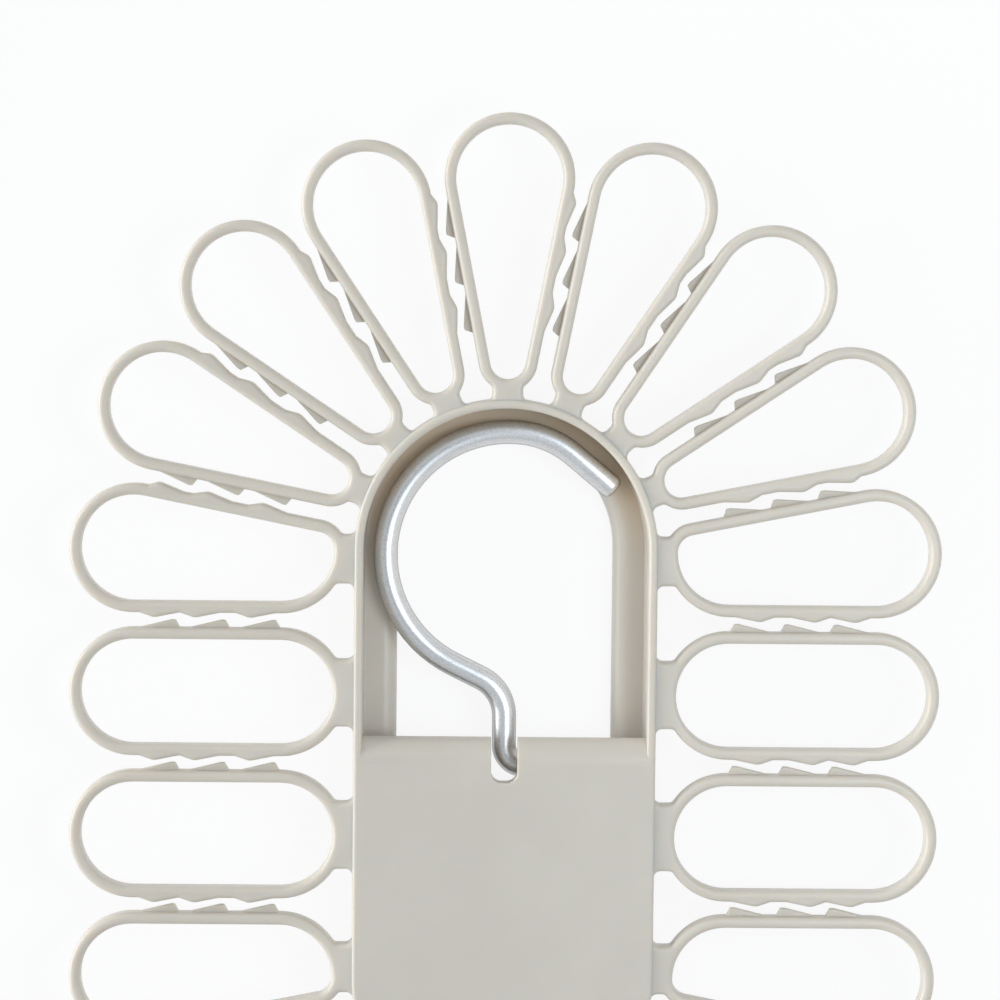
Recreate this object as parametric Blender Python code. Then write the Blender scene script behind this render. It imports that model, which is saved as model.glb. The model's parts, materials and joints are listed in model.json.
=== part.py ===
# Sock drying rack: an oval moulding with a ring of gripping loops and a folding wire hook.
# Metres, +Z up. The rack lies on its back, as level as it hangs in use, with its front up.
# The origin is on the surface that it lies on, under the middle of the rack.

import bpy
import bmesh
from math import asin, cos, hypot, pi, radians, sin, sqrt
from mathutils import Matrix, Vector

MM = 0.001

# Driving dimensions of the ring of loops
LOOP_PITCH = 31.5 * MM          # from one straight loop to the next along a side
STRAIGHT_ROWS = 2               # straight loops on a side, between the two round ends
FAN_LOOPS = 7                   # fanned loops round each end
PINCH_GAP = 3.34 * MM           # slit between two loops, which grips a sock
BAND_WIDTH = 2.5 * MM           # width of a loop's band, seen from the front
BAND_DEPTH = 4.4 * MM           # front to back
BAND_CHAMFER = 0.5 * MM         # softened edges of the band
LOOP_SETBACK = 0.6 * MM         # the loops' fronts lie this far behind the rim's front
HOLE_LENGTH = 55.4 * MM         # a loop's hole, from its inner to its outer end
NECK_LENGTH = 1.9 * MM          # between the frame and a loop's band
FAN_NECK = 6.7 * MM             # neck width under a fanned half of a loop
STRAIGHT_NECK = 14.8 * MM       # and under a straight one
LOOP_FILLET = 0.8 * MM          # between neck and band
ROOT_FILLET = 1.0 * MM          # between neck and frame
SPLIT_GAP = 0.3 * MM            # between two pieces of the moulding

# Driving dimensions of the gripping teeth
TOOTH_FRONT = 1.0 * MM          # the teeth start this far behind the band's front
TOOTH_BACK = 0.7 * MM           # and end this far before its back
TOOTH_ROOT = 0.6 * MM           # how far a tooth is rooted in its band
BARB_HEIGHT = 1.5 * MM
BARB_STEEP = 1.3 * MM           # a barb's short slope, towards the frame
BARB_SLOPE = 5.6 * MM           # and its long one, outwards
BARB_FLAT = 0.7 * MM
BARB_PLACES = (13.2 * MM, 24.3 * MM, 35.2 * MM)    # peaks, from the hole's inner end
BUMP_HEIGHT = 1.15 * MM
BUMP_INNER = 4.4 * MM
BUMP_OUTER = 3.5 * MM
BUMP_FLAT = 1.0 * MM
BUMP_PLACES = (18.2 * MM, 30.4 * MM, 38.8 * MM)

# Driving dimensions of the frame
FRAME_HALF_WIDTH = 33.2 * MM    # outer radius of the round ends too
FRAME_DEPTH = 18.0 * MM         # rim front to the back that it lies on
RIM_WIDTH = 2.75 * MM           # the frame's upright wall, seen from the front
RIM_ROUND = 1.1 * MM            # both edges of the wall's front
LEDGE_HEIGHT = 6.0 * MM         # front of the ledge inside the wall, from the back
LEDGE_REACH = 6.45 * MM         # how far the ledge reaches in from the wall
LEDGE_THICKNESS = 2.2 * MM
LEDGE_FILLET = 1.5 * MM         # between wall and ledge
EDGE_ROLL_WIDTH = 3.2 * MM      # the ledge's inner edge rolls over to the back
EDGE_ROLL_HEIGHT = 3.0 * MM
FOOT_WIDTH = 2.4 * MM           # flat back edge round the window, on which the rack lies
BACK_ROUND = 3.0 * MM           # outer edge behind the wall

# Driving dimensions of the centre plate
PLATE_THICKNESS = 4.4 * MM
PLATE_ROLL = 4.0 * MM           # radius of the plate's rolled top edge
PLATE_REACH = 6.95 * MM         # from the hook's pin to the plate's top edge
PIN_OFFSET = 0.9 * MM           # the pin lies this far from the middle, towards the plate
PIN_COVER = 2.1 * MM            # between the pin and the plate's back
SLOT_SIDE = 0.4 * MM            # between the stem and each side of its slot
STOP_GAP = 0.3 * MM             # between the raised stem and the slot's end

# Driving dimensions of the hook
WIRE = 5.0 * MM                 # diameter
RING_SIDE = 0.75 * MM           # between the hook's ring and the frame's wall, if centred
RING_DROP = 1.37 * MM           # the ring's centre lies this far below the round end's
RING_SHIFT = 0.65 * MM          # and this far to the right of the stem
TIP_BEND_START = radians(85)    # where the ring's tighter bend to the tip starts
TIP_BEND = 21.3 * MM            # centre line radius of that bend
TIP_ANGLE = radians(50.4)       # where it runs out into the straight tip
TIP_LENGTH = 12.2 * MM
RUN_SLOPE = radians(-26)        # direction of the run from the ring to the stem
STEM_BEND = 9.5 * MM            # centre line radius of the bend into the stem
PIN_BEND_INNER = 2.0 * MM       # inner radius of the bend into the pin
PIN_LENGTH = 19.5 * MM          # straight pin behind the plate

# Driving dimensions of the snap bearings behind the plate
BEARING_CLEARANCE = 0.3 * MM
BEARING_WALL = 1.8 * MM
BEARING_LENGTH = 4.0 * MM
BEARING_ROOT = 1.1 * MM          # how far a bearing is rooted in the plate
BEARING_STAND_OFF = 1.0 * MM    # from the end of the pin's bend to the first bearing
BEARING_SPACING = 12.5 * MM     # from the first to the second
MOUTH_SHARE = 0.75              # the snap mouth's width over the bore's diameter

# Facets
FAN_STEPS = 20                  # round each end of the frame
SECTION_STEPS = 3               # on each rounded corner of the frame's section
ROLL_STEPS = 4                  # over each rolled edge
FILLET_STEPS = 2                # on each fillet of a loop
INNER_END_STEPS = 4             # round the inner end of a half loop
OUTER_END_STEPS = 7             # and round its outer end
SLOT_STEPS = 8
BORE_STEPS = 12
CHEEK_STEPS = 3                 # on each side of a bearing
WIRE_STEP = radians(10)
WIRE_SIDE_STEPS = 4             # extra facets on each quarter of the wire
FRAME_SMOOTH = radians(35)      # edges flatter than this are shaded smooth
WIRE_SMOOTH = radians(50)

# Tolerances
WELD = 0.001 * MM
NEAR = 0.01 * MM
LEVEL = 0.1                     # a face's upright share below which it counts as a side

# Derived sizes
end_offset = (STRAIGHT_ROWS + 1) * LOOP_PITCH / 2
fan_step = pi / (FAN_LOOPS + 1)
loop_front = FRAME_DEPTH - LOOP_SETBACK
loop_back = loop_front - BAND_DEPTH
hole_start = FRAME_HALF_WIDTH + NECK_LENGTH + BAND_WIDTH
hole_end = hole_start + HOLE_LENGTH
rim_inner = FRAME_HALF_WIDTH - RIM_WIDTH
window_half = rim_inner - LEDGE_REACH
plate_back = FRAME_DEPTH - PLATE_THICKNESS
pin_y = -PIN_OFFSET
pin_z = plate_back - PIN_COVER - WIRE / 2
plate_top = pin_y + PLATE_REACH
ring_radius = rim_inner - RING_SIDE - WIRE / 2
ring_y = end_offset - RING_DROP
pin_bend = PIN_BEND_INNER + WIRE / 2


def clear_scene():
    for item in list(bpy.data.objects):
        bpy.data.objects.remove(item, do_unlink=True)


def new_collection(name):
    group = bpy.data.collections.new(name)
    bpy.context.scene.collection.children.link(group)
    return group


def new_material(name, colour, roughness, metallic):
    material = bpy.data.materials.new(name)
    material.use_nodes = True
    shader = material.node_tree.nodes["Principled BSDF"]
    shader.inputs["Base Color"].default_value = (*colour, 1.0)
    shader.inputs["Roughness"].default_value = roughness
    shader.inputs["Metallic"].default_value = metallic
    return material


def oval_arc(centre, wide, high, start, end, steps):
    # Points along an upright ellipse from one angle to another, both ends included
    points = []
    for i in range(steps + 1):
        angle = start + (end - start) * i / steps
        points.append((centre[0] + wide * cos(angle), centre[1] + high * sin(angle)))
    return points


def arc(centre, radius, start, end, steps):
    return oval_arc(centre, radius, radius, start, end, steps)


def mirrored(points):
    return [(u, -v) for u, v in reversed(points)]


def without_repeats(points):
    kept = []
    for point in points:
        if not kept or hypot(point[0] - kept[-1][0], point[1] - kept[-1][1]) > NEAR:
            kept.append(point)
    if hypot(kept[0][0] - kept[-1][0], kept[0][1] - kept[-1][1]) < NEAR:
        kept.pop()
    return kept


def curve_to_mesh(curve, name):
    # Turns a curve into a welded mesh and removes the curve
    holder = bpy.data.objects.new(name, curve)
    bpy.context.scene.collection.objects.link(holder)
    bpy.context.view_layer.update()
    evaluated = holder.evaluated_get(bpy.context.evaluated_depsgraph_get())
    mesh = bpy.data.meshes.new_from_object(evaluated)
    mesh.name = name
    bpy.data.objects.remove(holder, do_unlink=True)
    bpy.data.curves.remove(curve)
    bm = bmesh.new()
    bm.from_mesh(mesh)
    bmesh.ops.remove_doubles(bm, verts=bm.verts, dist=WELD)
    bmesh.ops.recalc_face_normals(bm, faces=bm.faces)
    bm.to_mesh(mesh)
    bm.free()
    return mesh


def flat_solid(name, outline, back, front):
    # A flat outline drawn out from back to front, with one face on each side
    curve = bpy.data.curves.new(name, "CURVE")
    curve.dimensions = "2D"
    curve.fill_mode = "BOTH"
    curve.extrude = (front - back) / 2
    points = without_repeats(outline)
    spline = curve.splines.new("POLY")
    spline.points.add(len(points) - 1)
    for i, (u, v) in enumerate(points):
        spline.points[i].co = (u, v, 0.0, 1.0)
    spline.use_cyclic_u = True
    mesh = curve_to_mesh(curve, name)
    mesh.transform(Matrix.Translation((0.0, 0.0, (back + front) / 2)))
    bm = bmesh.new()
    bm.from_mesh(mesh)
    for side in (-1, 1):
        bmesh.ops.dissolve_faces(bm, faces=[f for f in bm.faces if f.normal.z * side > 1 - LEVEL])
    bm.to_mesh(mesh)
    bm.free()
    return mesh


def place(mesh, name, group, material, location=(0.0, 0.0, 0.0), turn=0.0):
    item = bpy.data.objects.new(name, mesh)
    item.location = location
    item.rotation_euler = (0.0, 0.0, turn)
    if not mesh.materials:
        mesh.materials.append(material)
    group.objects.link(item)
    return item


def combine(mesh, others, operation, tools):
    # Joins other meshes to a mesh, or cuts them out of it, and returns the result as a mesh
    base = bpy.data.objects.new(mesh.name, mesh)
    tools.objects.link(base)
    cutters = []
    for other in others:
        cutter = bpy.data.objects.new(other.name, other)
        cutter.hide_render = True
        cutter.display_type = "WIRE"
        tools.objects.link(cutter)
        cutters.append(cutter)
        change = base.modifiers.new(operation.lower(), "BOOLEAN")
        change.operation = operation
        change.solver = "EXACT"
        change.object = cutter
    bpy.context.view_layer.update()
    evaluated = base.evaluated_get(bpy.context.evaluated_depsgraph_get())
    result = bpy.data.meshes.new_from_object(evaluated)
    for item in [base] + cutters:
        bpy.data.objects.remove(item, do_unlink=True)
    return result


# Loops

def side_line(fanned):
    # The middle of the slit beside a half loop: its angle, and its distance from the axis
    if fanned:
        return fan_step / 2, 0.0
    return 0.0, LOOP_PITCH / 2


def end_circles(fanned):
    # Centre and radius of the circles at the inner and outer end of a half loop's hole
    angle, distance = side_line(fanned)
    hole_side = distance - PINCH_GAP / 2 - BAND_WIDTH
    inner = (hole_start + hole_side) / (1 - sin(angle))
    outer = (hole_end - hole_side) / (1 + sin(angle))
    return (inner, inner - hole_start), (outer, hole_end - outer)


def half_hole(fanned):
    # From the inner to the outer end of the hole, along its upper half
    angle, _ = side_line(fanned)
    (inner, inner_radius), (outer, outer_radius) = end_circles(fanned)
    turn = pi / 2 + angle
    points = arc((inner, 0.0), inner_radius, pi, turn, INNER_END_STEPS)
    return points + arc((outer, 0.0), outer_radius, turn, 0.0, OUTER_END_STEPS)


def band_knee(fanned):
    # Where a half loop's neck meets its band: the band's inner circle, with the turn about its
    # centre and the fillet's centre
    (inner, inner_radius), _ = end_circles(fanned)
    radius = inner_radius + BAND_WIDTH
    neck = (FAN_NECK if fanned else STRAIGHT_NECK) / 2
    rise = neck + LOOP_FILLET
    swing = asin(rise / (radius + LOOP_FILLET))
    fillet = (inner - (radius + LOOP_FILLET) * cos(swing), rise)
    return (inner, 0.0), radius, swing, fillet


def half_band(fanned):
    # From the frame to the outer end, along the upper half of the neck and the band
    angle, _ = side_line(fanned)
    _, (outer, outer_radius) = end_circles(fanned)
    inner, inner_radius, swing, fillet = band_knee(fanned)
    neck = (FAN_NECK if fanned else STRAIGHT_NECK) / 2
    root = FRAME_HALF_WIDTH + SPLIT_GAP
    lean = 0.0
    foot = root + ROOT_FILLET
    if fanned:
        lean = asin((neck + ROOT_FILLET) / (root + ROOT_FILLET))
        foot = sqrt((root + ROOT_FILLET) ** 2 - (neck + ROOT_FILLET) ** 2)
    turn = pi / 2 + angle
    points = [(root, 0.0)]
    points += arc((foot, neck + ROOT_FILLET), ROOT_FILLET, pi + lean, 1.5 * pi, FILLET_STEPS)
    points += arc(fillet, LOOP_FILLET, -pi / 2, -swing, FILLET_STEPS)
    points += arc(inner, inner_radius, pi - swing, turn, INNER_END_STEPS)
    outer_radius += BAND_WIDTH
    return points + arc((outer, 0.0), outer_radius, turn, 0.0, OUTER_END_STEPS)


def half_loop(fanned):
    return half_band(fanned) + list(reversed(half_hole(fanned)))


def soften_band(bm, upper, lower):
    # Chamfers the front edges of the band, but not those of the neck
    edges = []
    for edge in bm.edges:
        if min(v.co.z for v in edge.verts) < loop_front - NEAR:
            continue
        if len([f for f in edge.link_faces if abs(f.normal.z) < LEVEL]) != 1:
            continue
        fanned = upper if sum(v.co.y for v in edge.verts) > 0 else lower
        inner, radius, swing, _ = band_knee(fanned)
        start = inner[0] - radius * cos(swing) - NEAR
        if min(v.co.x for v in edge.verts) > start:
            edges.append(edge)
    bmesh.ops.bevel(bm, geom=edges, offset=BAND_CHAMFER, segments=1, profile=0.5,
                    affect="EDGES", clamp_overlap=True)


def tooth_outline(peak, fanned, barb):
    # One tooth on the upper side of a loop, its peak at a distance along the loop's axis
    angle, distance = side_line(fanned)
    side = distance - PINCH_GAP / 2
    if barb:
        height, inner, outer, flat = BARB_HEIGHT, BARB_STEEP, BARB_SLOPE, BARB_FLAT
    else:
        height, inner, outer, flat = BUMP_HEIGHT, BUMP_INNER, BUMP_OUTER, BUMP_FLAT
    shape = [(-inner, -TOOTH_ROOT), (outer, -TOOTH_ROOT), (outer, 0.0),
             (flat / 2, height), (-flat / 2, height), (-inner, 0.0)]
    along = (cos(angle), sin(angle))
    out = (-sin(angle), cos(angle))
    start = (peak - side * out[0]) / along[0]
    points = []
    for run, rise in shape:
        u = (start + run) * along[0] + (side + rise) * out[0]
        v = (start + run) * along[1] + (side + rise) * out[1]
        points.append((u, v))
    return points


def tooth_outlines(fanned, barb):
    places = BARB_PLACES if barb else BUMP_PLACES
    return [tooth_outline(hole_start + peak, fanned, barb) for peak in places]


def loop_mesh(upper, lower, tools):
    # A loop along +X: each half is told by whether it is fanned and whether its teeth are barbs
    halves = (half_loop(upper[0]), mirrored(half_loop(lower[0])))
    bm = bmesh.new()
    for outline in halves:
        bm.from_mesh(flat_solid("half_loop", outline, loop_back, loop_front))
    middle = [f for f in bm.faces if max(abs(v.co.y) for v in f.verts) < WELD]
    bmesh.ops.delete(bm, geom=middle, context="FACES_ONLY")
    bmesh.ops.remove_doubles(bm, verts=bm.verts, dist=WELD)
    soften_band(bm, upper[0], lower[0])
    body = bpy.data.meshes.new("loop")
    bm.to_mesh(body)
    bm.free()
    teeth = tooth_outlines(*upper) + [mirrored(tooth) for tooth in tooth_outlines(*lower)]
    back = loop_back + TOOTH_BACK
    front = loop_front - TOOTH_FRONT
    rows = [flat_solid("tooth", tooth, back, front) for tooth in teeth]
    return combine(body, rows, "UNION", tools)


def loop_plan():
    # Name, centre, turn and the two halves of every loop, clockwise from the upper left
    fan, row, barb, bump = True, False, True, False
    plan = []
    for side, centre, first in (("top", end_offset, pi), ("bottom", -end_offset, 0.0)):
        for i in range(FAN_LOOPS):
            turn = first - (i + 1) * fan_step
            name = f"{side}_loop_{i + 1}"
            plan.append((name, centre, turn, (fan, barb), (fan, bump)))
    for i in range(STRAIGHT_ROWS + 2):
        centre = end_offset - i * LOOP_PITCH
        high = fan if i == 0 else row
        low = fan if i == STRAIGHT_ROWS + 1 else row
        plan.append((f"right_loop_{i + 1}", centre, 0.0, (high, barb), (low, bump)))
        upper_teeth = bump if i == 0 else barb
        lower_teeth = barb if i == STRAIGHT_ROWS + 1 else bump
        plan.append((f"left_loop_{i + 1}", centre, pi, (low, lower_teeth), (high, upper_teeth)))
    return plan


def make_loops(group, tools, material):
    shared = {}
    for name, centre, turn, upper, lower in loop_plan():
        key = (upper, lower)
        if key not in shared:
            shared[key] = loop_mesh(upper, lower, tools)
        place(shared[key], name, group, material, (0.0, centre, 0.0), turn)


# Frame

def frame_profile():
    # Section through the frame's wall and ledge, as (distance from the middle line, height)
    rim_low = FRAME_DEPTH - RIM_ROUND
    outer_rim = (FRAME_HALF_WIDTH - RIM_ROUND, rim_low)
    inner_rim = (rim_inner + RIM_ROUND, rim_low)
    corner = (rim_inner - LEDGE_FILLET, LEDGE_HEIGHT + LEDGE_FILLET)
    roll = (window_half + EDGE_ROLL_WIDTH, LEDGE_HEIGHT - EDGE_ROLL_HEIGHT)
    under = LEDGE_HEIGHT - LEDGE_THICKNESS
    back = (FRAME_HALF_WIDTH - BACK_ROUND, under + BACK_ROUND)
    foot = window_half + FOOT_WIDTH
    points = arc(outer_rim, RIM_ROUND, 0.0, pi / 2, SECTION_STEPS)
    points += arc(inner_rim, RIM_ROUND, pi / 2, pi, SECTION_STEPS)
    points += arc(corner, LEDGE_FILLET, 0.0, -pi / 2, SECTION_STEPS)
    points += oval_arc(roll, EDGE_ROLL_WIDTH, EDGE_ROLL_HEIGHT, pi / 2, pi, ROLL_STEPS)
    points += [(window_half, 0.0), (foot, 0.0), (foot, under)]
    return points + arc(back, BACK_ROUND, -pi / 2, 0.0, SECTION_STEPS)


def make_frame(group, material):
    # The wall's section, drawn out along the sides and spun round both ends
    bm = bmesh.new()
    ring = [bm.verts.new((r, -end_offset, z)) for r, z in frame_profile()]
    edges = [bm.edges.new((ring[i - 1], ring[i])) for i in range(len(ring))]
    up = Vector((0.0, 2 * end_offset, 0.0))
    for centre, run in ((end_offset, up), (-end_offset, -up)):
        drawn = bmesh.ops.extrude_edge_only(bm, edges=edges)["geom"]
        moved = [item for item in drawn if isinstance(item, bmesh.types.BMVert)]
        edges = [item for item in drawn if isinstance(item, bmesh.types.BMEdge)]
        bmesh.ops.translate(bm, verts=moved, vec=run)
        spun = bmesh.ops.spin(bm, geom=moved + edges, cent=(0.0, centre, 0.0),
                              axis=(0.0, 0.0, 1.0), angle=pi, steps=FAN_STEPS)["geom_last"]
        edges = [item for item in spun if isinstance(item, bmesh.types.BMEdge)]
    bmesh.ops.remove_doubles(bm, verts=bm.verts, dist=NEAR)
    bmesh.ops.recalc_face_normals(bm, faces=bm.faces)
    mesh = bpy.data.meshes.new("frame")
    bm.to_mesh(mesh)
    bm.free()
    mesh.shade_smooth()
    mesh.set_sharp_from_angle(angle=FRAME_SMOOTH)
    place(mesh, "frame_shell", group, material)


# Centre plate with its snap bearings

def plate_outline():
    half = rim_inner - SPLIT_GAP
    slot = WIRE / 2 + SLOT_SIDE
    slot_end = pin_y - WIRE / 2 - STOP_GAP
    points = [(slot, plate_top), (half, plate_top)]
    points += arc((0.0, -end_offset), half, 0.0, -pi, FAN_STEPS)
    points += [(-half, plate_top), (-slot, plate_top)]
    return points + arc((0.0, slot_end + slot), slot, pi, 2 * pi, SLOT_STEPS)


def roll_top_edge(mesh):
    # Rounds the plate's front edge where it rolls back into the window
    bm = bmesh.new()
    bm.from_mesh(mesh)
    edges = []
    for edge in bm.edges:
        a, b = edge.verts
        level = min(a.co.z, b.co.z) > FRAME_DEPTH - NEAR
        top = min(a.co.y, b.co.y) > plate_top - NEAR
        if level and top:
            edges.append(edge)
    bmesh.ops.bevel(bm, geom=edges, offset=PLATE_ROLL, segments=ROLL_STEPS, profile=0.5,
                    affect="EDGES", clamp_overlap=True)
    bm.to_mesh(mesh)
    bm.free()


def bearing_outline():
    # A snap bearing seen along the pin, as (distance along the rack, height)
    bore = WIRE / 2 + BEARING_CLEARANCE
    outer = bore + BEARING_WALL
    mouth = asin(MOUTH_SHARE)
    root = plate_back + BEARING_ROOT
    left = 1.5 * pi - mouth
    right = -pi / 2 + mouth
    pin = (pin_y, pin_z)
    points = [(pin_y - outer, root)] + arc(pin, outer, pi, left, CHEEK_STEPS)
    points += arc(pin, bore, left, right, BORE_STEPS)
    return points + arc(pin, outer, right, 0.0, CHEEK_STEPS) + [(pin_y + outer, root)]


def make_plate(group, tools, material):
    mesh = flat_solid("plate", plate_outline(), plate_back, FRAME_DEPTH)
    roll_top_edge(mesh)
    bearings = []
    first = pin_bend + BEARING_STAND_OFF
    for start in (first, first + BEARING_SPACING):
        bearing = flat_solid("bearing", bearing_outline(), start, start + BEARING_LENGTH)
        # The outline's two directions become Y and Z, and its thickness runs along X
        bearing.transform(Matrix(((0, 0, 1, 0), (1, 0, 0, 0), (0, 1, 0, 0), (0, 0, 0, 1))))
        bearings.append(bearing)
    mesh = combine(mesh, bearings, "UNION", tools)
    mesh.name = "centre_plate"
    mesh.shade_smooth()
    mesh.set_sharp_from_angle(angle=FRAME_SMOOTH)
    place(mesh, "centre_plate", group, material)


# Hook

def wire_arc(centre, radius, start, end):
    steps = max(2, round(abs(end - start) / WIRE_STEP))
    return arc(centre, radius, start, end, steps)


def hook_path():
    # The wire's centre line from its tip to the end of its pin, in the hook's own plane
    ring = (RING_SHIFT, ring_y)
    tip_run = (sin(TIP_ANGLE), -cos(TIP_ANGLE))
    shift = ring_radius - TIP_BEND
    bend = (ring[0] + shift * cos(TIP_BEND_START), ring[1] + shift * sin(TIP_BEND_START))
    bent = wire_arc(bend, TIP_BEND, TIP_ANGLE, TIP_BEND_START)
    tip = (bent[0][0] + TIP_LENGTH * tip_run[0], bent[0][1] + TIP_LENGTH * tip_run[1])
    points = [tip] + bent
    points += wire_arc(ring, ring_radius, TIP_BEND_START, 1.5 * pi + RUN_SLOPE)
    start = points[-1]
    bend_width = STEM_BEND * (1 + sin(RUN_SLOPE))
    run = -start[0] - bend_width
    knee = (start[0] + run, start[1] + run * sin(RUN_SLOPE) / cos(RUN_SLOPE))
    centre = (-STEM_BEND, knee[1] - STEM_BEND * cos(RUN_SLOPE))
    points += wire_arc(centre, STEM_BEND, pi / 2 + RUN_SLOPE, 0.0)
    points += wire_arc((pin_bend, pin_y + pin_bend), pin_bend, pi, 1.5 * pi)
    points.append((pin_bend + PIN_LENGTH, pin_y))
    return without_repeats(points)


def make_hook(group, material):
    # The hook's origin is on its pin, the axis that it folds about
    curve = bpy.data.curves.new("hook", "CURVE")
    curve.dimensions = "3D"
    curve.bevel_depth = WIRE / 2
    curve.bevel_resolution = WIRE_SIDE_STEPS
    curve.use_fill_caps = True
    spline = curve.splines.new("POLY")
    points = hook_path()
    spline.points.add(len(points) - 1)
    for i, (x, y) in enumerate(points):
        spline.points[i].co = (x, y - pin_y, 0.0, 1.0)
    mesh = curve_to_mesh(curve, "hook")
    mesh.shade_smooth()
    mesh.set_sharp_from_angle(angle=WIRE_SMOOTH)
    place(mesh, "hook", group, material, (0.0, pin_y, pin_z))


def build():
    clear_scene()
    rack = new_collection("sock_drying_rack")
    tools = new_collection("cutters")
    plastic = new_material("warm_grey_polypropylene", (0.60, 0.58, 0.53), 0.45, 0.0)
    steel = new_material("satin_steel_wire", (0.62, 0.63, 0.65), 0.3, 1.0)
    make_frame(rack, plastic)
    make_plate(rack, tools, plastic)
    make_loops(rack, tools, plastic)
    make_hook(rack, steel)


build()
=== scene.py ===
# Sock drying rack: the looks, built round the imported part
# Metres, +Z up. The rack lies on its back with its front up, as the part does.

import json
from math import asin, cos, pi, radians, sin, sqrt, tan

import bmesh
import bpy
from mathutils import Euler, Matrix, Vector


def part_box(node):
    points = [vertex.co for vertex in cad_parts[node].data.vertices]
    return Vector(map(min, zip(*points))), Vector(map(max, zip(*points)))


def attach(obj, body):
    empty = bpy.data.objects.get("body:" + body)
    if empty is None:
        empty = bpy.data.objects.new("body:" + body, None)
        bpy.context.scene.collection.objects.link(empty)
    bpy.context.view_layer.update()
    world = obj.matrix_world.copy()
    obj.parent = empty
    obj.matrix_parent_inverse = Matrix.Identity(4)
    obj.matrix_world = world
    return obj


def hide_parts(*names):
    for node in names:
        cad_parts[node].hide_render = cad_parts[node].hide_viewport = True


mm = 0.001
near = 0.01 * mm

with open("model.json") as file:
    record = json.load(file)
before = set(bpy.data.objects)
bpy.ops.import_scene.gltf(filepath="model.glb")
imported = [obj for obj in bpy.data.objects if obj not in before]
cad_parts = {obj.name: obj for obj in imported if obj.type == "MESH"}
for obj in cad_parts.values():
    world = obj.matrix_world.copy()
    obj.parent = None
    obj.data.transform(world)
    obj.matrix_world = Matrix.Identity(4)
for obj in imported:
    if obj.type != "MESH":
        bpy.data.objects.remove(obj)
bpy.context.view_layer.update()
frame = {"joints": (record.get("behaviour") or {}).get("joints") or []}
print("frame loaded")


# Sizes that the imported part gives

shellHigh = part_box("frame_shell")[1]
rowLow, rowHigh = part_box("right_loop_2")
hookLow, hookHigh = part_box("hook")
halfWidth = shellHigh.x  # outer radius of the frame's round ends
frontZ = shellHigh.z
endOffset = shellHigh.y - halfWidth  # from the middle to each round end's centre
loopFront = rowHigh.z
loopBack = rowLow.z
loopTip = rowHigh.x
pinY, pinZ = frame["joints"][0]["pos_m"][1:]
wireWidth = hookHigh.z - hookLow.z


# Drawing tools: a vertex is extruded along straight lines and spun round corners


def deselectAll():
    if bpy.context.object and bpy.context.object.mode != "OBJECT":
        bpy.ops.object.mode_set(mode="OBJECT")
    bpy.ops.object.select_all(action="DESELECT")


def onlyPick(piece):
    deselectAll()
    piece.select_set(True)
    bpy.context.view_layer.objects.active = piece


def editPiece(piece, kind="VERT"):
    onlyPick(piece)
    bpy.ops.object.mode_set(mode="EDIT")
    bpy.ops.mesh.select_mode(type=kind)


def startLine(name, place):
    # A tiny plane merged to one vertex, from which a line is drawn
    deselectAll()
    bpy.ops.mesh.primitive_plane_add(size=mm, location=place)
    piece = bpy.context.object
    piece.name = name
    bpy.ops.object.transform_apply(location=True, rotation=True, scale=True)
    editPiece(piece)
    bpy.ops.mesh.select_all(action="SELECT")
    bpy.ops.mesh.merge(type="CENTER")
    return piece


def spinRound(centre, axis, angle, steps):
    # Anticlockwise about the axis, where the operator's own angle runs clockwise
    bpy.ops.mesh.spin(steps=steps, angle=-angle, center=centre, axis=axis)


def trace(name, lift, axis, start, moves):
    # Draws a closed line of straight runs and arcs. lift turns a flat point into a place.
    piece = startLine(name, lift(*start))
    here = Vector(start)
    for kind, *what in moves + [("line", start)]:
        if kind == "line":
            there = Vector(what[0])
            if (there - here).length < near:
                continue
            step = Vector(lift(*there)) - Vector(lift(*here))
            bpy.ops.mesh.extrude_region_move(TRANSFORM_OT_translate={"value": step})
            here = there
        else:
            centre, angle, steps = what
            spinRound(lift(*centre), axis, angle, steps)
            arm = here - Vector(centre)
            here = Vector((centre[0] + arm.x * cos(angle) - arm.y * sin(angle),
                           centre[1] + arm.x * sin(angle) + arm.y * cos(angle)))
    bpy.ops.mesh.select_all(action="SELECT")
    bpy.ops.mesh.remove_doubles(threshold=near)
    bpy.ops.mesh.select_all(action="SELECT")
    return piece


def cornerMoves(corners):
    # Moves round a polygon, each corner (across, along, radius, steps). The first one is sharp.
    moves = []
    count = len(corners)
    for i, (across, along, radius, steps) in enumerate(corners):
        here = Vector((across, along))
        if not radius:
            moves.append(("line", tuple(here)))
            continue
        before = (Vector(corners[i - 1][:2]) - here).normalized()
        after = (Vector(corners[(i + 1) % count][:2]) - here).normalized()
        turn = pi - before.angle(after)
        centre = here + (before + after).normalized() * radius / cos(turn / 2)
        way = 1 if before.cross(after) < 0 else -1
        moves.append(("line", tuple(here + before * radius * tan(turn / 2))))
        moves.append(("arc", tuple(centre), way * turn, steps))
    return moves


def pickEdges(piece, wanted):
    bpy.ops.mesh.select_mode(type="EDGE")
    bpy.ops.mesh.select_all(action="DESELECT")
    shape = bmesh.from_edit_mesh(piece.data)
    for edge in shape.edges:
        if wanted(edge):
            edge.select_set(True)
    bmesh.update_edit_mesh(piece.data)


def isOutline(edge):
    # An edge between a flat face and an upright one
    return len(edge.link_faces) == 2 and sum(abs(f.normal.z) < 0.5 for f in edge.link_faces) == 1


def drawOut(step):
    bpy.ops.mesh.extrude_region_move(TRANSFORM_OT_translate={"value": step})


def closeShape():
    bpy.ops.mesh.select_all(action="SELECT")
    bpy.ops.mesh.remove_doubles(threshold=near)
    bpy.ops.mesh.select_all(action="SELECT")
    bpy.ops.mesh.normals_make_consistent(inside=False)
    bpy.ops.object.mode_set(mode="OBJECT")


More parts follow.
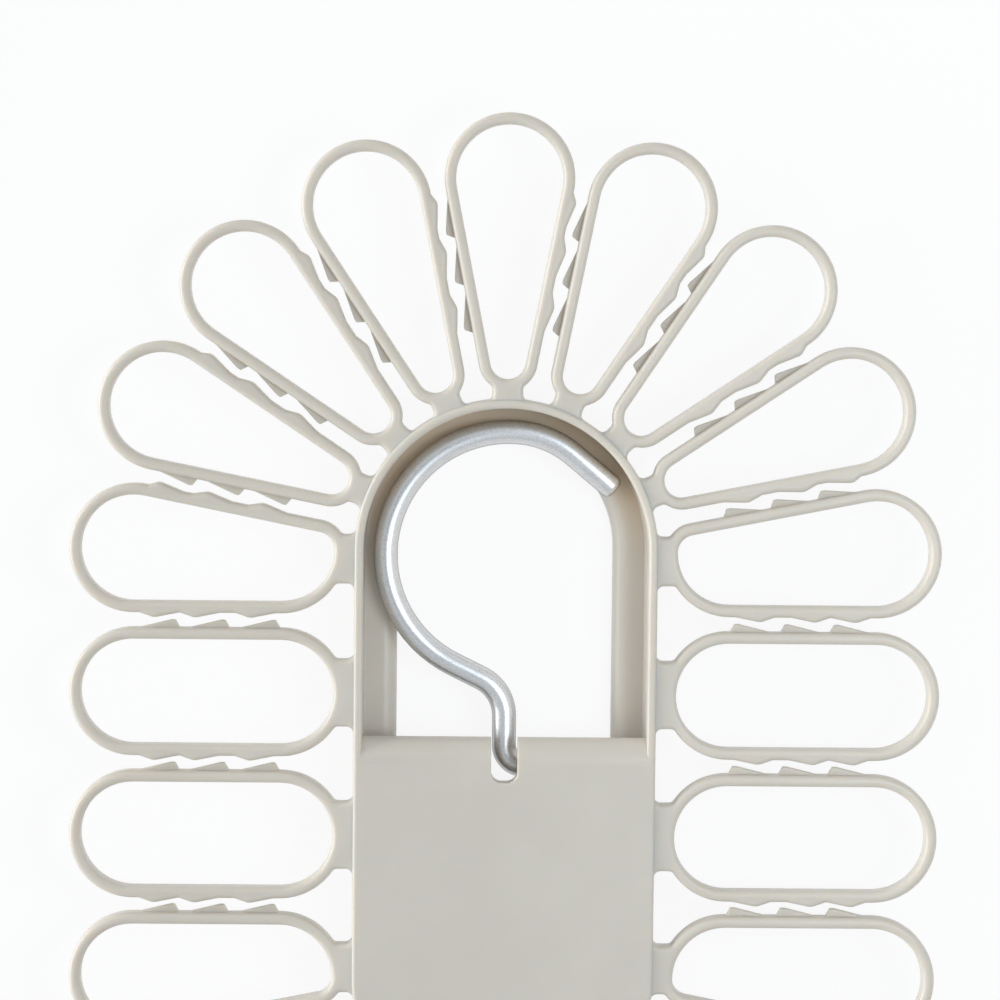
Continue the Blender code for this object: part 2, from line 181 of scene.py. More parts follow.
def addModifier(piece, kind, **values):
    onlyPick(piece)
    change = piece.modifiers.new(kind.lower(), kind)
    for key, value in values.items():
        setattr(change, key, value)
    bpy.ops.object.modifier_apply(modifier=change.name)


def unite(piece, other):
    addModifier(piece, "BOOLEAN", operation="UNION", solver="EXACT", object=other)
    bpy.data.objects.remove(other, do_unlink=True)


def joinPieces(piece, others):
    onlyPick(piece)
    for other in others:
        other.select_set(True)
    bpy.ops.object.join()
    return piece


def smoothPiece(piece, angle):
    onlyPick(piece)
    bpy.ops.object.shade_smooth_by_angle(angle=angle)


rounding = {
    "steps": 3,
    "sharpness": radians(50),     # edges that turn by less are left alone
}


def roundEdges(piece, width):
    addModifier(piece, "BEVEL", width=width, segments=rounding["steps"], limit_method="ANGLE",
                angle_limit=rounding["sharpness"])


# Frame and plate: one moulding

body = {
    "rimWidth": 1.95 * mm,
    "outerRound": 0.8 * mm,
    "innerRound": 0.9 * mm,
    "ledgeHeight": 6.0 * mm,      # front of the ledge inside the wall, from the back
    "ledgeReach": 7.25 * mm,
    "ledgeThickness": 2.2 * mm,
    "ledgeFillet": 0.5 * mm,
    "edgeRollWidth": 3.2 * mm,    # the ledge's inner edge rolls over to the back
    "edgeRollHeight": 3.0 * mm,
    "footWidth": 2.4 * mm,
    "footRound": 0.5 * mm,
    "backRound": 3.0 * mm,
    "endSteps": 64,               # round each end of the frame
    "roundSteps": 8,
    "filletSteps": 6,
    "footSteps": 3,
    "rollSteps": 10,
    "plateThickness": 4.4 * mm,
    "plateTop": 6.05 * mm,
    "plateRoll": 5.7 * mm,        # length of the rolled top edge
    "plateRollDrop": 4.1 * mm,
    "plateSink": 0.01 * mm,       # keeps the plate's front off the rim's
    "slotSide": 0.4 * mm,
    "slotGap": 0.3 * mm,          # between the raised stem and the slot's end
    "slotRound": 2.4 * mm,
    "slotSteps": 12,
    "plateRollSteps": 12,
    "edgeRound": 0.25 * mm,
    "smooth": radians(32),        # edges flatter than this are shaded smooth
}
rimInner = halfWidth - body["rimWidth"]
windowHalf = rimInner - body["ledgeReach"]


def wallCorners():
    ledge = body["ledgeHeight"]
    under = ledge - body["ledgeThickness"]
    foot = windowHalf + body["footWidth"]
    small = body["footRound"]
    steps, footSteps, rollSteps = body["roundSteps"], body["footSteps"], body["rollSteps"]
    corners = [
        (halfWidth, frontZ / 2, 0, 0),
        (halfWidth, frontZ, body["outerRound"], steps),
        (rimInner, frontZ, body["innerRound"], steps),
        (rimInner, ledge, body["ledgeFillet"], body["filletSteps"]),
    ]
    wide, high = body["edgeRollWidth"], body["edgeRollHeight"]
    for i in range(rollSteps + 1):
        angle = pi / 2 + pi / 2 * i / rollSteps
        corners.append((windowHalf + wide + wide * cos(angle),
                        ledge - high + high * sin(angle), 0, 0))
    corners += [
        (windowHalf, 0, small, footSteps),
        (foot, 0, small, footSteps),
        (foot, under, small, footSteps),
        (halfWidth, under, body["backRound"], steps),
    ]
    return corners


def makeWall():
    corners = wallCorners()
    wall = trace("rackBody", lambda across, up: (across, -endOffset, up), (0, -1, 0),
                 corners[0][:2], cornerMoves(corners)[1:])
    steps = body["endSteps"]
    for centre in (endOffset, -endOffset):
        drawOut((0, 2 * centre, 0))
        spinRound((0, centre, 0), (0, 0, 1), pi, steps)
    closeShape()
    return wall


def makePlate():
    front = frontZ - body["plateSink"]
    side = halfWidth - body["rimWidth"] / 2
    top = body["plateTop"]
    slot = wireWidth / 2 + body["slotSide"]
    slotEnd = pinY - wireWidth / 2 - body["slotGap"]
    low = -endOffset - side
    corners = [
        (slot, top, 0, 0),
        (side, top, 0, 0),
        (side, low, side, body["endSteps"] // 2),
        (-side, low, side, body["endSteps"] // 2),
        (-side, top, 0, 0),
        (-slot, top, 0, 0),
        (-slot, slotEnd, body["slotRound"], body["slotSteps"]),
        (slot, slotEnd, body["slotRound"], body["slotSteps"]),
    ]
    plate = trace("plate", lambda across, along: (across, along, front), (0, 0, 1),
                  corners[0][:2], cornerMoves(corners)[1:])
    bpy.ops.mesh.edge_face_add()
    drawOut((0, 0, -body["plateThickness"]))
    bpy.ops.mesh.select_all(action="SELECT")
    bpy.ops.mesh.normals_make_consistent(inside=False)
    drop = body["plateRollDrop"]
    pickEdges(plate, lambda edge: min(v.co.z for v in edge.verts) > front - near
              and min(v.co.y for v in edge.verts) > top - near)
    bpy.ops.mesh.bevel(offset=drop, segments=body["plateRollSteps"], affect="EDGES")
    stretch = body["plateRoll"] / drop
    shape = bmesh.from_edit_mesh(plate.data)
    for vertex in shape.verts:
        if vertex.co.y > top - drop - near:
            vertex.co.y = top - (top - vertex.co.y) * stretch
    bmesh.update_edit_mesh(plate.data)
    closeShape()
    roundEdges(plate, body["edgeRound"])
    return plate


bearing = {
    "clearance": 0.3 * mm,
    "wall": 1.8 * mm,
    "root": 1.1 * mm,
    "length": 4.0 * mm,
    "spacing": 12.5 * mm,
    "start": 5.5 * mm,            # from the stem to the first bearing
    "mouthShare": 0.75,           # the mouth's width over the bore's diameter
    "cheekSteps": 8,
    "boreSteps": 32,
    "edgeRound": 0.3 * mm,
}


def makeBearings():
    bore = wireWidth / 2 + bearing["clearance"]
    outer = bore + bearing["wall"]
    mouth = asin(bearing["mouthShare"])
    root = frontZ - body["plateThickness"] + bearing["root"]
    pin = (pinY, pinZ)
    left = 1.5 * pi - mouth
    rim = (pinY + bore * cos(left), pinZ + bore * sin(left))
    right = (pinY - outer * cos(left), pinZ + outer * sin(left))
    moves = [
        ("line", (pinY - outer, pinZ)),
        ("arc", pin, left - pi, bearing["cheekSteps"]),
        ("line", rim),
        ("arc", pin, -(2 * pi - 2 * mouth), bearing["boreSteps"]),
        ("line", right),
        ("arc", pin, left - pi, bearing["cheekSteps"]),
        ("line", (pinY + outer, root)),
    ]
    start = bearing["start"]
    first = trace("bearing", lambda along, up: (start, along, up), (1, 0, 0),
                  (pinY - outer, root), moves)
    bpy.ops.mesh.edge_face_add()
    drawOut((bearing["length"], 0, 0))
    closeShape()
    roundEdges(first, bearing["edgeRound"])
    onlyPick(first)
    bpy.ops.object.duplicate()
    second = bpy.context.object
    second.location.x = bearing["spacing"]
    bpy.ops.object.transform_apply(location=True, rotation=True, scale=True)
    return joinPieces(first, [second])


def makeBody():
    wall = makeWall()
    plate = makePlate()
    unite(plate, makeBearings())
    unite(wall, plate)
    smoothPiece(wall, body["smooth"])
    addModifier(wall, "WEIGHTED_NORMAL", keep_sharp=True)
    return wall


# Loops: a half is drawn for each of the two sides, fanned or straight

loop = {
    "pitch": 2 * endOffset / 3,   # from one straight loop to the next
    "fanLoops": 7,                # round each end
    "pinchGap": 3.34 * mm,        # slit between two loops
    "bandWidth": 2.5 * mm,
    "neckLength": 1.9 * mm,
    "fanNeck": 6.7 * mm,
    "straightNeck": 14.8 * mm,
    "bandFillet": 1.3 * mm,       # between neck and band
    "rootFillet": 1.5 * mm,       # between neck and frame
    "rootDepth": 1.0 * mm,        # how far the neck runs into the wall
    "frontRound": 1.1 * mm,
    "backRound": 0.35 * mm,
    "sideLoops": 4,               # down each side, between the fans
    "filletSteps": 6,
    "kneeSteps": 12,              # round the band's inner end
    "tipSteps": 24,               # and round its outer end
    "holeKneeSteps": 14,
    "holeTipSteps": 20,
    "roundSteps": 6,
    "smooth": radians(38),
}
fanStep = pi / (loop["fanLoops"] + 1)
holeStart = halfWidth + loop["neckLength"] + loop["bandWidth"]
holeEnd = loopTip - loop["bandWidth"]


def sideLine(fanned):
    # Angle and distance from the axis of the middle of the slit beside a half loop
    return (fanStep / 2, 0.0) if fanned else (0.0, loop["pitch"] / 2)


def halfLoopMoves(fanned, shape):
    angle, distance = sideLine(fanned)
    band = loop["bandWidth"]
    holeSide = distance - loop["pinchGap"] / 2 - band
    inner = (holeStart + holeSide) / (1 - sin(angle))
    outer = (holeEnd - holeSide) / (1 + sin(angle))
    innerRadius, outerRadius = inner - holeStart, holeEnd - outer
    turn = pi / 2 + angle
    neck = (loop["fanNeck"] if fanned else loop["straightNeck"]) / 2
    small, root = loop["bandFillet"], loop["rootFillet"]
    knee = innerRadius + band
    swing = asin((neck + small) / (knee + small))
    lean = asin((neck + root) / (halfWidth + root)) if fanned else 0.0
    deep = halfWidth - loop["rootDepth"]
    touch = neck + root
    if fanned:
        foot = sqrt((halfWidth + root) ** 2 - touch ** 2)
        corner = (deep * cos(lean), deep * sin(lean))
        contact = (halfWidth * cos(lean), halfWidth * sin(lean))
    else:
        foot = halfWidth + root
        corner = (deep, touch)
        contact = (halfWidth, touch)
    kneeFillet = (inner - (knee + small) * cos(swing), neck + small)
    broad = outerRadius + band
    sideStart = (inner + knee * cos(turn), knee * sin(turn))
    sideEnd = (outer + broad * cos(turn), broad * sin(turn))
    side = [(*sideStart, 0, 0), (*sideEnd, 0, 0)]
    if shape["inBand"]:
        teeth = toothCorners(shape, toothPeaks(fanned, shape), outer * cos(angle))
        side[1:1] = [(*onSide(fanned, along, rise), radius, steps)
                     for along, rise, radius, steps in reversed(teeth)]
    moves = [
        ("line", corner),
        ("line", contact),
        ("arc", (foot, touch), pi / 2 - lean, loop["filletSteps"]),
        ("line", (kneeFillet[0], neck)),
        ("arc", kneeFillet, pi / 2 - swing, loop["filletSteps"]),
        ("arc", (inner, 0.0), -(pi - swing - turn), loop["kneeSteps"]),
        *cornerMoves(side)[1:],
        ("arc", (outer, 0.0), -turn, loop["tipSteps"]),
        ("line", (holeEnd, 0.0)),
        ("arc", (outer, 0.0), turn, loop["holeTipSteps"]),
        ("line", (inner + innerRadius * cos(turn), innerRadius * sin(turn))),
        ("arc", (inner, 0.0), pi - turn, loop["holeKneeSteps"]),
    ]
    return (deep, 0.0), moves


tooth = {
    "front": 2.1 * mm,            # of a row of barbs, behind the band's front
    "back": 0.7 * mm,
    "root": 1.0 * mm,
    "sink": 0.04 * mm,            # a row's ends dip this far into the band
    "endGap": 0.3 * mm,           # the outermost foot stops this far short
    "steps": 5,                   # on each rounded corner
    "edgeRound": 0.2 * mm,
    "edgeSteps": 3,
}
barb = {
    "inBand": False,
    "places": (13.2 * mm, 24.3 * mm, 35.2 * mm),
    "fanPlaces": (11.4 * mm, 21.7 * mm, 32.0 * mm),
    "height": 1.65 * mm,
    "foot": -tooth["sink"],
    "steep": 1.4 * mm,            # slope towards the frame
    "slope": 7.4 * mm,            # slope outwards
    "flat": 0.9 * mm,
    "topRound": 0.4 * mm,
    "footRound": 0.4 * mm,
    "endRound": 2.5 * mm,
    "reach": 0.6 * mm,            # of the row beyond its outermost feet
}
bump = {
    "inBand": True,               # drawn in the band's own outline
    "places": (18.2 * mm, 30.3 * mm, 39.2 * mm),
    "fanPlaces": (15.7 * mm, 27.8 * mm, 38.4 * mm),
    "height": 1.0 * mm,
    "foot": 0.0,
    "steep": 5.3 * mm,
    "slope": 3.3 * mm,
    "flat": 0.8 * mm,
    "topRound": 1.6 * mm,
    "footRound": 0.8 * mm,
    "endRound": 0.8 * mm,
}


def toothPeaks(fanned, shape):
    # How far along the side each tooth has its top
    angle, distance = sideLine(fanned)
    edge = distance - loop["pinchGap"] / 2
    places = shape["fanPlaces"] if fanned else shape["places"]
    return [(holeStart + place + edge * sin(angle)) / cos(angle) for place in places]


def onSide(fanned, along, rise):
    # The flat point of a half loop that lies so far along its side and so far out of it
    angle, distance = sideLine(fanned)
    out = distance - loop["pinchGap"] / 2 + rise
    return (along * cos(angle) - out * sin(angle), along * sin(angle) + out * cos(angle))


def toothCorners(shape, peaks, limit):
    # The outline of the teeth from the outermost one inwards, as (along the side, out of it)
    height, foot, half = shape["height"], shape["foot"], shape["flat"] / 2
    steps = tooth["steps"]
    corners = []
    for peak in reversed(peaks):
        end = min(peak + shape["slope"], limit - tooth["endGap"])
        corners += [
            (end, foot, shape["endRound"], steps),
            (peak + half, height, shape["topRound"], steps),
            (peak - half, height, shape["topRound"], steps),
            (peak - shape["steep"], foot, shape["footRound"], steps),
        ]
    return corners


def makeBarbs(fanned, side):
    # The row of barbs on one side of a loop, further back than the band's front
    peaks = toothPeaks(fanned, barb)
    front = loopFront - tooth["front"]
    inner = peaks[0] - barb["steep"] - barb["reach"]
    outer = peaks[-1] + barb["slope"] + barb["reach"]
    level = barb["foot"]
    corners = [(inner, -tooth["root"], 0, 0), (outer, -tooth["root"], 0, 0),
               (outer, level, 0, 0), *toothCorners(barb, peaks, outer), (inner, level, 0, 0)]

    def lift(along, rise):
        across, up = onSide(fanned, along, rise)
        return (across, side * up, front)

    def rise(place):
        angle, distance = sideLine(fanned)
        return (side * place.y * cos(angle) - place.x * sin(angle)
                - distance + loop["pinchGap"] / 2)

    piece = trace("teeth", lift, (0, 0, side), corners[0][:2], cornerMoves(corners)[1:])
    bpy.ops.mesh.edge_face_add()
    drawOut((0, 0, loopBack + tooth["back"] - front))
    bpy.ops.mesh.select_all(action="SELECT")
    bpy.ops.mesh.normals_make_consistent(inside=False)
    pickEdges(piece, lambda edge: isOutline(edge)
              and min(rise(v.co) for v in edge.verts) > level - near)
    bpy.ops.mesh.bevel(offset=tooth["edgeRound"], segments=tooth["edgeSteps"], affect="EDGES")
    closeShape()
    return piece


def makeHalf(fanned, shape, side):
    start, moves = halfLoopMoves(fanned, shape)
    piece = trace("half", lambda across, up: (across, side * up, loopFront), (0, 0, side),
                  start, moves)
    bpy.ops.mesh.edge_face_add()
    bpy.ops.object.mode_set(mode="OBJECT")
    return piece


def makeLoop(upper, lower):
    # A loop along +X, each half (fanned, tooth shape)
    piece = joinPieces(makeHalf(*upper, 1), [makeHalf(*lower, -1)])
    editPiece(piece)
    bpy.ops.mesh.select_all(action="SELECT")
    bpy.ops.mesh.remove_doubles(threshold=near)
    closeShape()
    if piece.data.polygons[0].normal.z < 0:
        editPiece(piece)
        bpy.ops.mesh.select_all(action="SELECT")
        bpy.ops.mesh.flip_normals()
        bpy.ops.object.mode_set(mode="OBJECT")
    addModifier(piece, "SOLIDIFY", thickness=loopFront - loopBack, offset=-1)
    editPiece(piece, "EDGE")
    deep = halfWidth - loop["rootDepth"] + near
    for level, size in ((loopFront, loop["frontRound"]), (loopBack, loop["backRound"])):
        pickEdges(piece, lambda edge: isOutline(edge)
                  and all(abs(v.co.z - level) < near for v in edge.verts)
                  and max(v.co.x for v in edge.verts) > deep)
        bpy.ops.mesh.bevel(offset=size, segments=loop["roundSteps"], affect="EDGES")
    closeShape()
    rows = [makeBarbs(fanned, side)
            for (fanned, shape), side in ((upper, 1), (lower, -1)) if not shape["inBand"]]
    if rows:
        unite(piece, joinPieces(rows[0], rows[1:]))
    smoothPiece(piece, loop["smooth"])
    return piece


def loopPlan():
    # Name, centre, turn and the two halves of every loop, clockwise from the upper left
    plan = []
    for side, centre, first in (("top", endOffset, pi), ("bottom", -endOffset, 0.0)):
        for i in range(loop["fanLoops"]):
            turn = first - (i + 1) * fanStep
            plan.append((f"{side}_loop_{i + 1}", centre, turn, (True, "barb"), (True, "bump")))
    rows = loop["sideLoops"]
    for i in range(rows):
        centre = endOffset - i * loop["pitch"]
        high, low = i == 0, i == rows - 1
        upperTeeth = "bump" if high else "barb"
        lowerTeeth = "barb" if low else "bump"
        plan.append((f"right_loop_{i + 1}", centre, 0.0, (high, "barb"), (low, "bump")))
        plan.append((f"left_loop_{i + 1}", centre, pi, (low, lowerTeeth), (high, upperTeeth)))
    return plan


def makeLoops():
    shapes = {"barb": barb, "bump": bump}
    kinds = {}
    pieces = []
    for node, centre, turn, upper, lower in loopPlan():
        if (upper, lower) not in kinds:
            kinds[(upper, lower)] = makeLoop((upper[0], shapes[upper[1]]),
                                             (lower[0], shapes[lower[1]]))
            print("loop kind", len(kinds), "modelled")
        onlyPick(kinds[(upper, lower)])
        bpy.ops.object.duplicate()
        piece = bpy.context.object
        side, _, number = node.split("_")
        piece.name = f"{side}Loop{number}"
        piece.rotation_euler = (0, 0, turn)
        piece.location = (0, centre, 0)
        bpy.ops.object.transform_apply(location=True, rotation=True, scale=True)
        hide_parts(node)
        pieces.append(piece)
    for kind in kinds.values():
        bpy.data.objects.remove(kind, do_unlink=True)
    return pieces


# Hook: a round section, drawn along its straight runs and spun round its bends

hook = {
    "width": 5.3 * mm,            # the wire looks a little thicker than 5 mm
    "ringRadius": 27.2 * mm,
    "ringShift": 0.65 * mm,       # the ring's centre, right of the stem
    "ringDrop": 1.37 * mm,        # and below the round end's
    "tipBendStart": radians(85),
    "tipBend": 21.3 * mm,
    "tipAngle": radians(50.4),
    "tipLength": 12.2 * mm,
    "runSlope": radians(-26),
    "stemBend": 9.5 * mm,
    "pinBend": 4.5 * mm,
    "pinLength": 19.5 * mm,
    "sectionPoints": 32,
    "tipRound": 1.5 * mm,
    "pinRound": 0.5 * mm,
    "roundSteps": 5,
    "bendStep": radians(5),
    "fewestSteps": 3,
    "smooth": radians(40),
}


def bendWire(centre, angle):
    steps = max(hook["fewestSteps"], round(abs(angle) / hook["bendStep"]))
    spinRound((*centre, pinZ), (0, 0, 1), angle, steps)


def makeHook():
    ring = Vector((hook["ringShift"], endOffset - hook["ringDrop"]))
    tipStart, tipEnd = hook["tipBendStart"], hook["tipAngle"]
    shift = hook["ringRadius"] - hook["tipBend"]
    tight = ring + shift * Vector((cos(tipStart), sin(tipStart)))
    bendEnd = tight + hook["tipBend"] * Vector((cos(tipEnd), sin(tipEnd)))
    outwards = Vector((sin(tipEnd), -cos(tipEnd)))
    tip = bendEnd + hook["tipLength"] * outwards
    facing = Vector((*outwards, 0)).to_track_quat("Z", "Y").to_euler()
    deselectAll()
    bpy.ops.mesh.primitive_circle_add(vertices=hook["sectionPoints"], radius=hook["width"] / 2,
                                      location=(*tip, pinZ), rotation=facing, fill_type="NGON")
    wire = bpy.context.object
    wire.name = "hookWire"
    bpy.ops.object.transform_apply(location=True, rotation=True, scale=True)
    editPiece(wire, "FACE")
    bpy.ops.mesh.select_all(action="SELECT")
    drawOut((*(bendEnd - tip), 0))
    bendWire(tight, tipStart - tipEnd)
    ringEnd = 1.5 * pi + hook["runSlope"]
    bendWire(ring, ringEnd - tipStart)
    here = ring + hook["ringRadius"] * Vector((cos(ringEnd), sin(ringEnd)))
    slope, stemBend = hook["runSlope"], hook["stemBend"]
    run = -here.x - stemBend * (1 + sin(slope))
    knee = here + Vector((run, run * tan(slope)))
    drawOut((*(knee - here), 0))
    stemCentre = Vector((-stemBend, knee.y - stemBend * cos(slope)))
    bendWire(stemCentre, -(pi / 2 + slope))
    stemTop = Vector((0, stemCentre.y))
    pinBend = hook["pinBend"]
    pinCentre = Vector((pinBend, pinY + pinBend))
    drawOut((0, pinCentre.y - stemTop.y, 0))
    bendWire(pinCentre, pi / 2)
    drawOut((hook["pinLength"], 0, 0))
    bpy.ops.mesh.select_all(action="SELECT")
    bpy.ops.mesh.remove_doubles(threshold=near)
    bpy.ops.mesh.select_all(action="SELECT")
    bpy.ops.mesh.normals_make_consistent(inside=False)
    for end, facingOut, size in ((tip, outwards, hook["tipRound"]),
                                 (Vector((pinBend + hook["pinLength"], pinY)),
                                  Vector((1, 0)), hook["pinRound"])):
        pickEdges(wire, lambda edge: all(abs((v.co.xy - end).dot(facingOut)) < near
                                         and (v.co.xy - end).length < wireWidth
                                         for v in edge.verts))
        bpy.ops.mesh.bevel(offset=size, segments=hook["roundSteps"], affect="EDGES")
    closeShape()
    smoothPiece(wire, hook["smooth"])
    return wire


# Materials


def newMaterial(name):
    material = bpy.data.materials.new(name)
    material.use_nodes = True
    return material, material.node_tree.nodes, material.node_tree.links


def addNoise(nodes, links, place, scale, detail):
    noise = nodes.new("ShaderNodeTexNoise")
    noise.inputs["Scale"].default_value = scale
    noise.inputs["Detail"].default_value = detail
    links.new(place.outputs["Object"], noise.inputs["Vector"])
    return noise.outputs["Fac"]


def addRamp(nodes, links, value, finish):
    # The finish's deep colour below the first limit, its pale one above the second
    ramp = nodes.new("ShaderNodeValToRGB")
    for stop, limit, colour in zip(ramp.color_ramp.elements, finish["limits"],
                                   (finish["deep"], finish["pale"])):
        stop.position = limit
        stop.color = (*colour, 1)
    links.new(value, ramp.inputs["Fac"])
    return ramp.outputs["Color"]


def addShine(nodes, links, value, finish, shader):
    shine = nodes.new("ShaderNodeMapRange")
    shine.inputs["To Min"].default_value = finish["roughness"] - finish["smoother"]
    shine.inputs["To Max"].default_value = finish["roughness"] + finish["rougher"]
    links.new(value, shine.inputs["Value"])
    links.new(shine.outputs["Result"], shader.inputs["Roughness"])


def addRelief(nodes, links, height, finish, shader):
    relief = nodes.new("ShaderNodeBump")
    relief.inputs["Strength"].default_value = finish["reliefStrength"]
    relief.inputs["Distance"].default_value = finish["reliefDepth"]
    links.new(height, relief.inputs["Height"])
    links.new(relief.outputs["Normal"], shader.inputs["Normal"])


plastic = {
    "deep": (0.640, 0.595, 0.520),
    "pale": (0.660, 0.615, 0.540),
    "limits": (0.35, 0.65),
    "roughness": 0.36,
    "smoother": 0.04,
    "rougher": 0.04,
    "scatter": 0.5,               # share of light that goes into the plastic
    "scatterDepth": 2.5 * mm,
    "scatterReach": (1.0, 0.7, 0.4),
    "cloud": 45.0,                # slow change of shade, in cells a metre
    "cloudDetail": 3.0,
    "grain": 2600.0,              # moulded grain, in cells a metre
    "grainDetail": 2.0,
    "reliefStrength": 0.25,
    "reliefDepth": 0.02 * mm,
}

# Painted shade: a browner tint in the hollow behind the rim's upper end, where the ring's shadow
# falls; each pair below gives where it fades in
paintedHollowShade = {
    "tint": (1.0, 0.90, 0.77),
    "depth": (15 * mm, 9 * mm),   # each pair runs from no tint to the full one
    "floor": (4 * mm, 5.5 * mm),  # keeps it off the back
    "reach": (25 * mm, 29 * mm),  # out from the frame's middle line
    "height": (38 * mm, 66 * mm),
    "wall": (31.9 * mm, 31.6 * mm),  # ends it inside the rim
}


def paintedShadeShare(nodes, links, place):
    # 1 in the corner behind the rim's upper end, where the painted shade goes: a browner tint
    # standing in for the ring's shadow and for the light the plastic bounces onto itself there
    parts = nodes.new("ShaderNodeSeparateXYZ")
    links.new(place.outputs["Object"], parts.inputs[0])
    over = nodes.new("ShaderNodeMath")
    over.operation = "SUBTRACT"
    over.inputs[1].default_value = endOffset
    beyond = nodes.new("ShaderNodeMath")
    beyond.operation = "MAXIMUM"
    beyond.inputs[1].default_value = 0.0
    flat = nodes.new("ShaderNodeCombineXYZ")
    reach = nodes.new("ShaderNodeVectorMath")
    reach.operation = "LENGTH"
    links.new(parts.outputs["Y"], over.inputs[0])
    links.new(over.outputs[0], beyond.inputs[0])
    links.new(parts.outputs["X"], flat.inputs["X"])
    links.new(beyond.outputs[0], flat.inputs["Y"])
    links.new(flat.outputs[0], reach.inputs[0])
    share = None
    for socket, limits in (
        (parts.outputs["Z"], paintedHollowShade["depth"]),
        (parts.outputs["Z"], paintedHollowShade["floor"]),
        (parts.outputs["Y"], paintedHollowShade["height"]),
        (reach.outputs["Value"], paintedHollowShade["reach"]),
        (reach.outputs["Value"], paintedHollowShade["wall"]),
    ):
        step = nodes.new("ShaderNodeMapRange")
        step.interpolation_type = "SMOOTHSTEP"
        step.inputs["From Min"].default_value, step.inputs["From Max"].default_value = limits
        links.new(socket, step.inputs["Value"])
        if share:
            both = nodes.new("ShaderNodeMath")
            both.operation = "MULTIPLY"
            links.new(share, both.inputs[0])
            links.new(step.outputs["Result"], both.inputs[1])
            share = both.outputs[0]
        else:
            share = step.outputs["Result"]
    return share


def makePlastic():
    material, nodes, links = newMaterial("warmGreyPolypropylene")
    shader = nodes["Principled BSDF"]
    shader.inputs["Subsurface Weight"].default_value = plastic["scatter"]
    shader.inputs["Subsurface Scale"].default_value = plastic["scatterDepth"]
    shader.inputs["Subsurface Radius"].default_value = plastic["scatterReach"]
    place = nodes.new("ShaderNodeTexCoord")
    cloud = addNoise(nodes, links, place, plastic["cloud"], plastic["cloudDetail"])
    grain = addNoise(nodes, links, place, plastic["grain"], plastic["grainDetail"])
    # Painted shade: the base colour multiplied by the hollow's brown tint, standing in for
    # shadow
    paintedShadeTint = nodes.new("ShaderNodeMixRGB")
    paintedShadeTint.blend_type = "MULTIPLY"
    paintedShadeTint.inputs["Color2"].default_value = (*paintedHollowShade["tint"], 1)
    links.new(paintedShadeShare(nodes, links, place), paintedShadeTint.inputs["Fac"])
    links.new(addRamp(nodes, links, cloud, plastic), paintedShadeTint.inputs["Color1"])
    links.new(paintedShadeTint.outputs["Color"], shader.inputs["Base Color"])
    addShine(nodes, links, cloud, plastic, shader)
    addRelief(nodes, links, grain, plastic, shader)
    return material


steel = {
    "deep": (0.68, 0.69, 0.70),
    "pale": (0.86, 0.87, 0.88),
    "limits": (0.3, 0.55),
    "roughness": 0.36,
    "smoother": 0.05,
    "rougher": 0.08,
    "edgeTint": (0.15, 0.15, 0.15),
    "speckle": 3500.0,            # in cells a metre
    "speckleDetail": 3.0,
    "reliefStrength": 0.3,
    "reliefDepth": 0.015 * mm,
}


def makeSteel():
    material, nodes, links = newMaterial("satinWire")
    shader = nodes["Principled BSDF"]
    shader.inputs["Metallic"].default_value = 1.0
    shader.inputs["Specular Tint"].default_value = (*steel["edgeTint"], 1)
    place = nodes.new("ShaderNodeTexCoord")
    speckle = addNoise(nodes, links, place, steel["speckle"], steel["speckleDetail"])
    links.new(addRamp(nodes, links, speckle, steel), shader.inputs["Base Color"])
    addShine(nodes, links, speckle, steel, shader)
    addRelief(nodes, links, speckle, steel, shader)
    return material


# Floor, light and camera

stageSet = {
    "floorSize": 4.0,
    "floorColour": (0.92, 0.92, 0.92),
    "floorGlow": 1.0,             # how white the floor looks to the camera
    "glowShare": 0.88,            # the rest keeps the shadow
    "floorRoughness": 0.9,
    "floorGloss": 0.1,
    "worldColour": (0.92, 0.965, 1.0),
    "skyLow": 0.30,               # strength of the sky at the horizon
    "skyHigh": 0.715,             # and overhead
    "wallWhite": 0.97,            # the studio's walls, as the camera and metal see them
    "wallLow": 0.25,              # the walls end between these heights of the sky
    "wallHigh": 0.5,
    "lensDark": 0.15,             # the dark round the camera, overhead, as the metal sees it
    "lensLow": 0.93,
    "lensHigh": 0.995,
}


def seenDirectly(nodes, links):
    # 1 for camera, glossy and transmission rays
    path = nodes.new("ShaderNodeLightPath")
    first = nodes.new("ShaderNodeMath")
    first.operation = "MAXIMUM"
    second = nodes.new("ShaderNodeMath")
    second.operation = "MAXIMUM"
    links.new(path.outputs["Is Camera Ray"], first.inputs[0])
    links.new(path.outputs["Is Glossy Ray"], first.inputs[1])
    links.new(first.outputs[0], second.inputs[0])
    links.new(path.outputs["Is Transmission Ray"], second.inputs[1])
    return second.outputs[0]


def makeFloor():
    deselectAll()
    bpy.ops.mesh.primitive_plane_add(size=stageSet["floorSize"])
    floor = bpy.context.object
    floor.name = "floor"
    material, nodes, links = newMaterial("paleFloor")
    shader = nodes["Principled BSDF"]
    shader.inputs["Base Color"].default_value = (*stageSet["floorColour"], 1)
    shader.inputs["Roughness"].default_value = stageSet["floorRoughness"]
    shader.inputs["Specular IOR Level"].default_value = stageSet["floorGloss"]
    glow = nodes.new("ShaderNodeEmission")
    glow.inputs["Color"].default_value = (1, 1, 1, 1)
    glow.inputs["Strength"].default_value = stageSet["floorGlow"]
    share = nodes.new("ShaderNodeMath")
    share.operation = "MULTIPLY"
    share.inputs[1].default_value = stageSet["glowShare"]
    mix = nodes.new("ShaderNodeMixShader")
    links.new(seenDirectly(nodes, links), share.inputs[0])
    links.new(share.outputs[0], mix.inputs[0])
    links.new(shader.outputs[0], mix.inputs[1])
    links.new(glow.outputs[0], mix.inputs[2])
    links.new(mix.outputs[0], nodes["Material Output"].inputs["Surface"])
    floor.data.materials.append(material)


